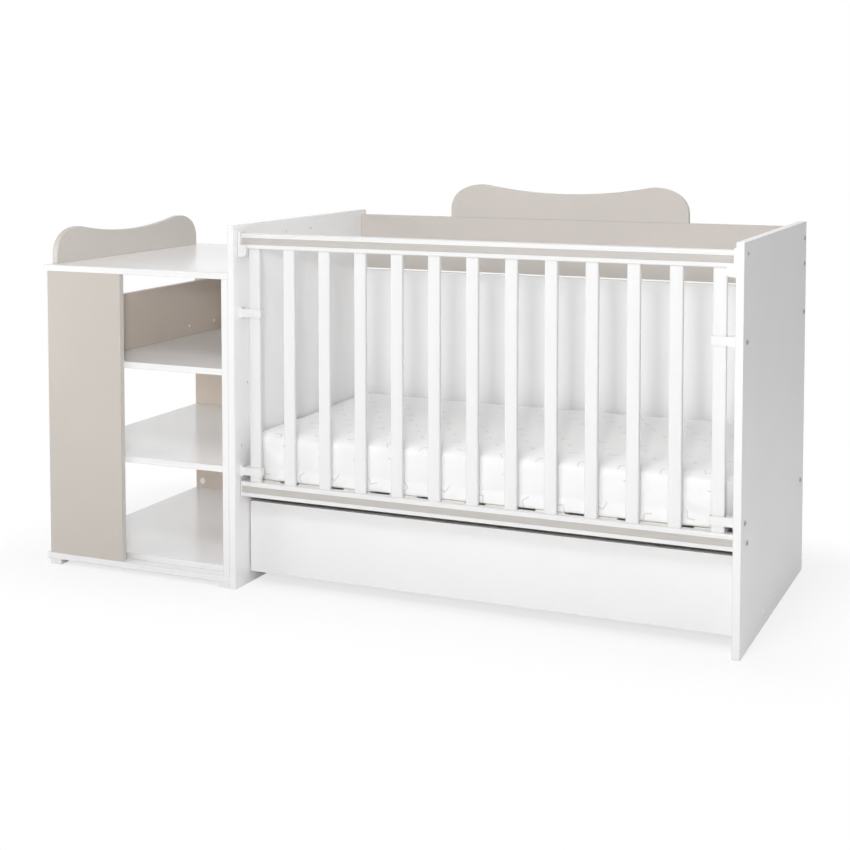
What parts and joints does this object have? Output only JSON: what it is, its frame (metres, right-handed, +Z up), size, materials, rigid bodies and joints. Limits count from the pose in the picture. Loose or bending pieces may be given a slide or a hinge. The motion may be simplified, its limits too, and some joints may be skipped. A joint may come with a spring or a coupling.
{
  "type": "convertible crib",
  "caption": "Convertible crib with a sliding drop side, an under-bed drawer, a mattress and an open shelf cabinet with a changing top joined to one end.",
  "frame": {"origin": "on the floor, under the middle of the whole piece", "axes": "+X along the crib from the cabinet to the far end panel, +Y from the drop side to the back, +Z up"},
  "size_m": [1.7858, 0.725, 0.962],
  "materials": {
    "white_board": "white melamine-faced board, satin",
    "taupe_board": "taupe melamine-faced board, satin",
    "taupe_inlay": "taupe foil strip, satin",
    "white_lacquer": "white lacquered wood, satin",
    "bare_wood": "planed softwood, untreated",
    "white_plastic": "moulded white plastic",
    "grey_plastic": "moulded grey plastic",
    "zinc_steel": "zinc-plated steel",
    "white_steel": "white painted steel",
    "mattress_cover": "white knitted ticking over foam"
  },
  "bodies": {
    "carcass": {"back_board": "taupe_board", "back_panel": "white_board", "base_rail_back": "bare_wood", "base_rail_front": "bare_wood", "base_slats": "bare_wood", "cabinet_apron": "taupe_board", "cabinet_back_panel": "taupe_board", "cabinet_base": "white_board", "cabinet_caps": "white_plastic", "cabinet_feet": "white_plastic", "cabinet_front_panel": "taupe_board", "cabinet_side": "white_board", "cabinet_top": "white_board", "catch_screws": "zinc_steel", "corner_brackets": "grey_plastic", "drawer_runner_left": "bare_wood", "drawer_runner_right": "bare_wood", "end_panel_left": "white_board", "end_panel_right": "white_board", "gallery_board": "taupe_board", "guide_left_lower": "white_plastic", "guide_left_upper": "white_plastic", "guide_right_lower": "white_plastic", "guide_right_upper": "white_plastic", "guide_screws": "white_plastic", "headboard": "taupe_board", "panel_bolts": "zinc_steel", "runner_screws": "white_steel", "shelf_lower": "white_board", "shelf_middle": "white_board", "shelf_upper": "white_board"},
    "drop_side": {"bottom_rail": "white_lacquer", "bottom_rail_inlay": "taupe_inlay", "latch_housing_left": "white_plastic", "latch_housing_right": "white_plastic", "latch_spring_left": "zinc_steel", "latch_spring_right": "zinc_steel", "slat_01": "white_lacquer", "slat_02": "white_lacquer", "slat_03": "white_lacquer", "slat_04": "white_lacquer", "slat_05": "white_lacquer", "slat_06": "white_lacquer", "slat_07": "white_lacquer", "slat_08": "white_lacquer", "slat_09": "white_lacquer", "slat_10": "white_lacquer", "slat_11": "white_lacquer", "slat_12": "white_lacquer", "slat_13": "white_lacquer", "top_rail": "white_lacquer", "top_rail_inlay": "taupe_inlay"},
    "latch_left": {"latch_bolt_left": "white_plastic"},
    "latch_right": {"latch_bolt_right": "white_plastic"},
    "drawer": {"drawer_back": "white_board", "drawer_bottom": "white_board", "drawer_front": "white_board", "drawer_side_left": "white_board", "drawer_side_right": "white_board"},
    "mattress": {"mattress": "mattress_cover"}
  },
  "joints": [
    {"name": "drop_side_slide", "type": "slide", "parent": "carcass", "child": "drop_side", "axis": [0, 0, 1], "range_m": [-0.122, 0]},
    {"name": "drawer_slide", "type": "slide", "parent": "carcass", "child": "drawer", "axis": [0, -1, 0], "range_m": [0, 0.45]},
    {"name": "latch_left_pull", "type": "slide", "parent": "drop_side", "child": "latch_left", "axis": [1, 0, 0], "range_m": [0, 0.005], "stiffness_N_per_m": 400, "deforming": ["latch_spring_left"]},
    {"name": "latch_right_pull", "type": "slide", "parent": "drop_side", "child": "latch_right", "axis": [-1, 0, 0], "range_m": [0, 0.005], "stiffness_N_per_m": 400, "deforming": ["latch_spring_right"]},
    {"name": "mattress_lift", "type": "slide", "parent": "carcass", "child": "mattress", "axis": [0, 0, 1], "range_m": [0, 0.65]}
  ]
}
